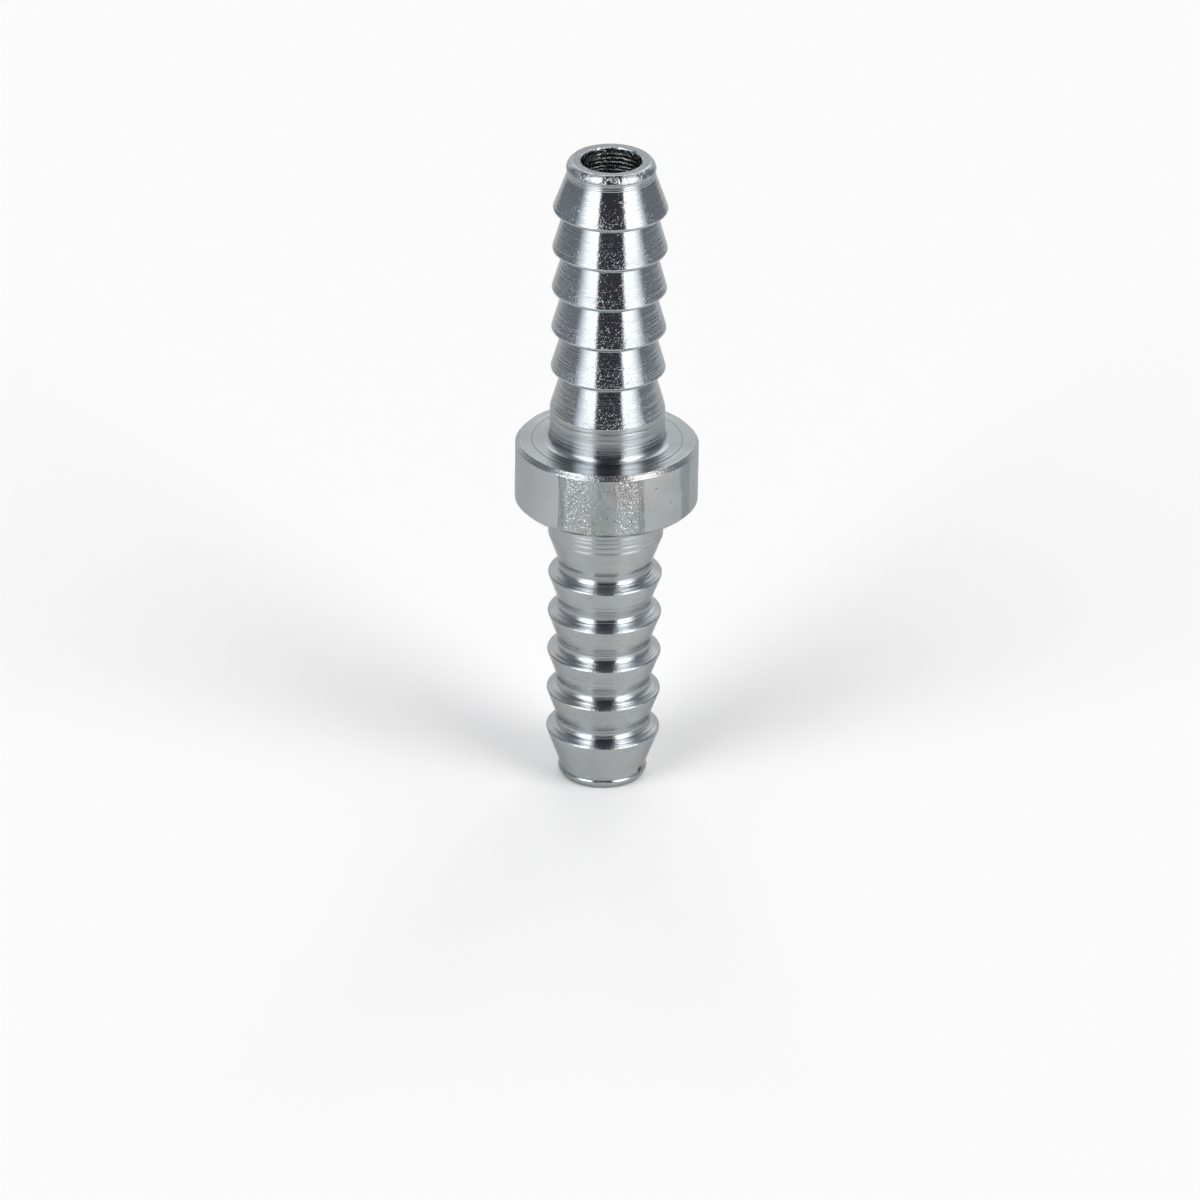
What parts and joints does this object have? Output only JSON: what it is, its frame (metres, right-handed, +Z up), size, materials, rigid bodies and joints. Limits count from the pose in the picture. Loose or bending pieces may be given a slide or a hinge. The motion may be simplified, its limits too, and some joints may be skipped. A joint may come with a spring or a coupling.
{
  "type": "double-ended hose connector",
  "caption": "Straight tube turned from bar that joins two hoses: a plain collar at mid-length, and on each side a plain seat and a row of tapered barbs, open right through.",
  "frame": {"origin": "centre of the lower end face, on the bore's axis", "axes": "+Z up the bore's axis, from the end face it stands on to the other; it is round, so +X and +Y are free"},
  "size_m": [0.016, 0.016, 0.059],
  "materials": {
    "plated_steel": "bright zinc plate with a faint blue cast over turning marks; the collar's side keeps the drawn bar's mottled skin"
  },
  "bodies": {
    "root": {"hose_connector": "plated_steel"}
  },
  "joints": []
}
